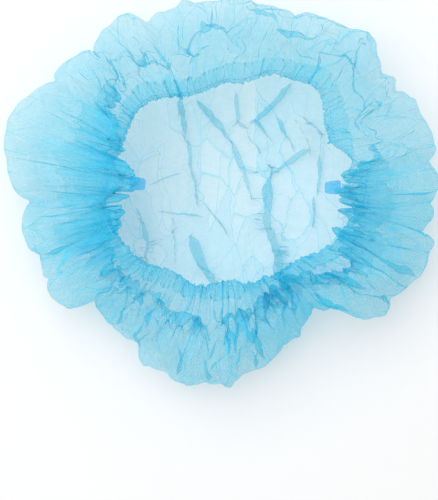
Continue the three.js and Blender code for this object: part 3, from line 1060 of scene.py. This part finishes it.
def elastic_points(angle, turn, rib_phase):
    """A flat oval: the section's cosine goes out from the neck, and its sine up and down."""
    thickness = BAND_THICKNESS / 2 * (1 + RIB_DEPTH * np.cos(rib_phase))
    out = mouth(angle)[0] + BAND_OUT + BAND_THICKNESS / 2 + thickness * rounded(np.cos(turn))
    up = BAND_LOW + BAND_WIDTH / 2 * (1 + rounded(np.sin(turn)))
    return np.stack([out * np.cos(np.radians(angle)), out * np.sin(np.radians(angle)), up], -1)


neck_length = np.linalg.norm(np.diff(band_edge, axis=1), axis=0).sum()
ribs = int(neck_length / RIB_PITCH)
way = np.arange(ribs * STEPS_A_RIB)
section = np.arange(SECTION_STEPS) * 2 * np.pi / SECTION_STEPS
around_neck, around_section = np.meshgrid(way * 360 / len(way), section, indexing="ij")
rib_phase = np.radians(around_neck) * ribs
band = grid_object("elastic", elastic_points(around_neck, around_section, rib_phase) + shift, knit,
                   wrap=(True, True))
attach(band, "root")
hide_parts("elastic_band")
print("elastic:", round(neck_length), "mm round,", ribs, "ribs")

# %% [markdown]
# The sewing thread is twisted polyester. Its fibres are smooth, so it shines a little more than the
# band, and the twist breaks the shine up. It is so thin that a bump from fine noise is enough. Its pale
# blue is painted light, the tint of what reaches it through the blue cloth.

# %% Thread material
TWIST_SIZE = 0.4
TWIST_DEPTH = 0.1

thread, tree = new_material("pale blue polyester thread")
place = add_node(tree, "ShaderNodeTexCoord").outputs["Object"]
twist = add_node(tree, "ShaderNodeTexNoise", Vector=place, Scale=1 / (TWIST_SIZE * MM), Detail=2.0)
relief = add_node(tree, "ShaderNodeBump", Strength=0.6, Distance=TWIST_DEPTH * MM,
                  Height=twist.outputs[0])
# Painted light: the pale blue is the tint of light through the cloth over the stitches
glossy = add_node(tree, "ShaderNodeBsdfPrincipled", Base_Color=linear("#a8e0f6"), Roughness=0.55,
                  Sheen_Weight=0.2, Normal=relief.outputs[0])
add_node(tree, "ShaderNodeOutputMaterial", Surface=glossy.outputs[0])
print("twist in mm:", TWIST_SIZE)

# %% [markdown]
# Two rows of stitches hold the elastic. Their pale blue is painted light, as on the band. Each stitch is
# a short thread that comes out of the band, lies on it and goes in again. Copies of one object would be
# hundreds of pieces, so all of them are one mesh, made from one small tube by adding an axis to the
# arrays: stitch, step along it, step round it.

# %% Stitches
STITCH_PITCH = 3.0
STITCH_LENGTH = 2.4
THREAD_RADIUS = 0.28
STITCH_PROUD = 0.3
STITCH_SUNK = 0.15
# Heights of the two rows on the band, then the steps along a stitch and round it
STITCH_ROWS = (1.1, 3.5)
TUBE = (7, 6)


def stitch_points(angle, height):
    """Small tubes: the radius, a root of 1 less a fourth power, closes to nothing at both ends, and
    the middle stands proud by a parabola."""
    along, around = np.meshgrid(np.linspace(-1, 1, TUBE[0]), np.arange(TUBE[1]) * 2 * np.pi / TUBE[1],
                                indexing="ij")
    radius = THREAD_RADIUS * np.sqrt(1 - along ** 4)
    out = BAND_OUT + BAND_THICKNESS + STITCH_PROUD * (1 - along ** 2) - STITCH_SUNK
    out = out + radius * np.cos(around)
    out = mouth(angle)[0][:, None, None] + out
    turn = np.radians(angle)[:, None, None] + along * STITCH_LENGTH / 2 / out
    up = BAND_LOW + height[:, None, None] + radius * np.sin(around)
    return np.stack([out * np.cos(turn), out * np.sin(turn), up + 0 * turn], -1)


count = int(neck_length / STITCH_PITCH)
stitch_angle = np.tile(np.arange(count) * 360 / count, len(STITCH_ROWS))
stitch_height = np.repeat(STITCH_ROWS, count)
points = stitch_points(stitch_angle, stitch_height)
number = np.arange(points[..., 0].size).reshape(points.shape[:3])
beside = np.roll(number, -1, axis=2)
quads = np.stack([number[:, :-1], number[:, 1:], beside[:, 1:], beside[:, :-1]], -1)
stitches = mesh_object("stitches", points.reshape(-1, 3) + shift, quads.reshape(-1, 4), thread)
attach(stitches, "root")
print("stitches:", len(points))

# %% [markdown]
# Where nonwoven is melted, its fibres run together into a film. It is glossier and deeper in colour
# than the cloth, still a little see-through, and blotchy, because it doesn't melt evenly. Three
# shaders are mixed for that: a glossy film, light that comes through it, and clear gaps.

# %% Welded film material
BLOTCH_SIZE = 1.6
BLOTCH_DEPTH = 0.15
GLOW_SHARE = 0.35
CLEAR_WELD = 0.4

weld, tree = new_material("heat fused nonwoven")
place = add_node(tree, "ShaderNodeTexCoord").outputs["Object"]
blotch = add_node(tree, "ShaderNodeTexNoise", Vector=place, Scale=1 / (BLOTCH_SIZE * MM), Detail=3.0)
tone = add_node(tree, "ShaderNodeMix", {"data_type": "RGBA"}, Factor=blotch.outputs[0],
                in6=linear("#2fc0f0"), in7=linear("#74d9f7"))
relief = add_node(tree, "ShaderNodeBump", Strength=0.4, Distance=BLOTCH_DEPTH * MM,
                  Height=blotch.outputs[0])
film = add_node(tree, "ShaderNodeBsdfPrincipled", Base_Color=tone.outputs[2], Roughness=0.45, IOR=1.49,
                Normal=relief.outputs[0])
glow = add_node(tree, "ShaderNodeBsdfTranslucent", Color=linear("#5fdcff"))
fused = add_node(tree, "ShaderNodeMixShader", Fac=GLOW_SHARE, in1=film.outputs[0], in2=glow.outputs[0])
gaps = add_node(tree, "ShaderNodeBsdfTransparent", Color=(1, 1, 1, 1))
thin = add_node(tree, "ShaderNodeMixShader", Fac=CLEAR_WELD, in1=fused.outputs[0], in2=gaps.outputs[0])
add_node(tree, "ShaderNodeOutputMaterial", Surface=thin.outputs[0])
print("blotches in mm:", BLOTCH_SIZE)

# %% [markdown]
# Left and right of the mouth a weld fuses all the pleats into a small flat tab. It carries on from
# the frill's edge and points into the mouth. The welding tool leaves a field of small round dents,
# and the pleats still show as ridges that fade towards the tip. They could be cut into a box one by
# one, but a single formula for the surface gives rounded edges, dents and ridges together.

# %% Shape of a welded tab
TAB = {"length": 10, "width": 9, "tip": 7, "thickness": 1.2, "seat": 0.4}
TAB_DROOP = np.radians(12)
TAB_STEPS = (61, 96)
END_POWER = 6
END_WIDTH = 0.6
DENT_PITCH = 1.8
DENT_DEPTH = 0.28
DENT_SPREAD = 0.05
RIDGE_PITCH = 1.3
RIDGE_HEIGHT = 0.3


def tab_points(angle):
    """A flat oval section carried along the tab, closing at both ends. Dents are bells on a
    lattice, and ridges are a cosine across that fades along the tab."""
    steps, section = TAB_STEPS
    along, turn = np.meshgrid(np.linspace(0, 1, steps), np.arange(section) * 2 * np.pi / section,
                              indexing="ij")
    ends = np.sqrt(np.clip(1 - abs(2 * along - 1) ** END_POWER, 0, 1))
    across = (TAB["width"] + (TAB["tip"] - TAB["width"]) * along) / 2 * np.cos(turn)
    across = across * (END_WIDTH + (1 - END_WIDTH) * ends)
    forward = along * TAB["length"]
    lattice = [(v / DENT_PITCH + 0.5) % 1 - 0.5 for v in (forward + across, forward - across)]
    dent = DENT_DEPTH * np.exp(-(lattice[0] ** 2 + lattice[1] ** 2) / DENT_SPREAD)
    ridge = RIDGE_HEIGHT * np.cos(2 * np.pi * across / RIDGE_PITCH) * (1 - along)
    up = (TAB["thickness"] / 2 - dent + ridge) * rounded(np.sin(turn)) * ends
    edge = smooth_sheet(np.array(float(ring.max())), np.array(angle))
    reach = np.hypot(edge[0], edge[1]) - TAB["seat"] - forward * np.cos(TAB_DROOP)
    height = edge[2] - forward * np.sin(TAB_DROOP) + up
    c, s = np.cos(np.radians(angle)), np.sin(np.radians(angle))
    return np.stack([reach * c + across * s, reach * s - across * c, height], -1)


print("points of a tab:", TAB_STEPS[0] * TAB_STEPS[1])

# %% [markdown]
# There is one tab on each side, at the place where its solid stands. A loop makes both, so that they
# stay alike.

# %% Two tabs
for node, angle_of_tab in TAB_ANGLES.items():
    name = "tab_" + node.split("_")[-1]
    tab = grid_object(name, tab_points(angle_of_tab) + shift, weld, wrap=(False, True))
    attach(tab, "root")
    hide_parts(node)
    print(tab.name, "triangles:", 2 * len(tab.data.polygons))
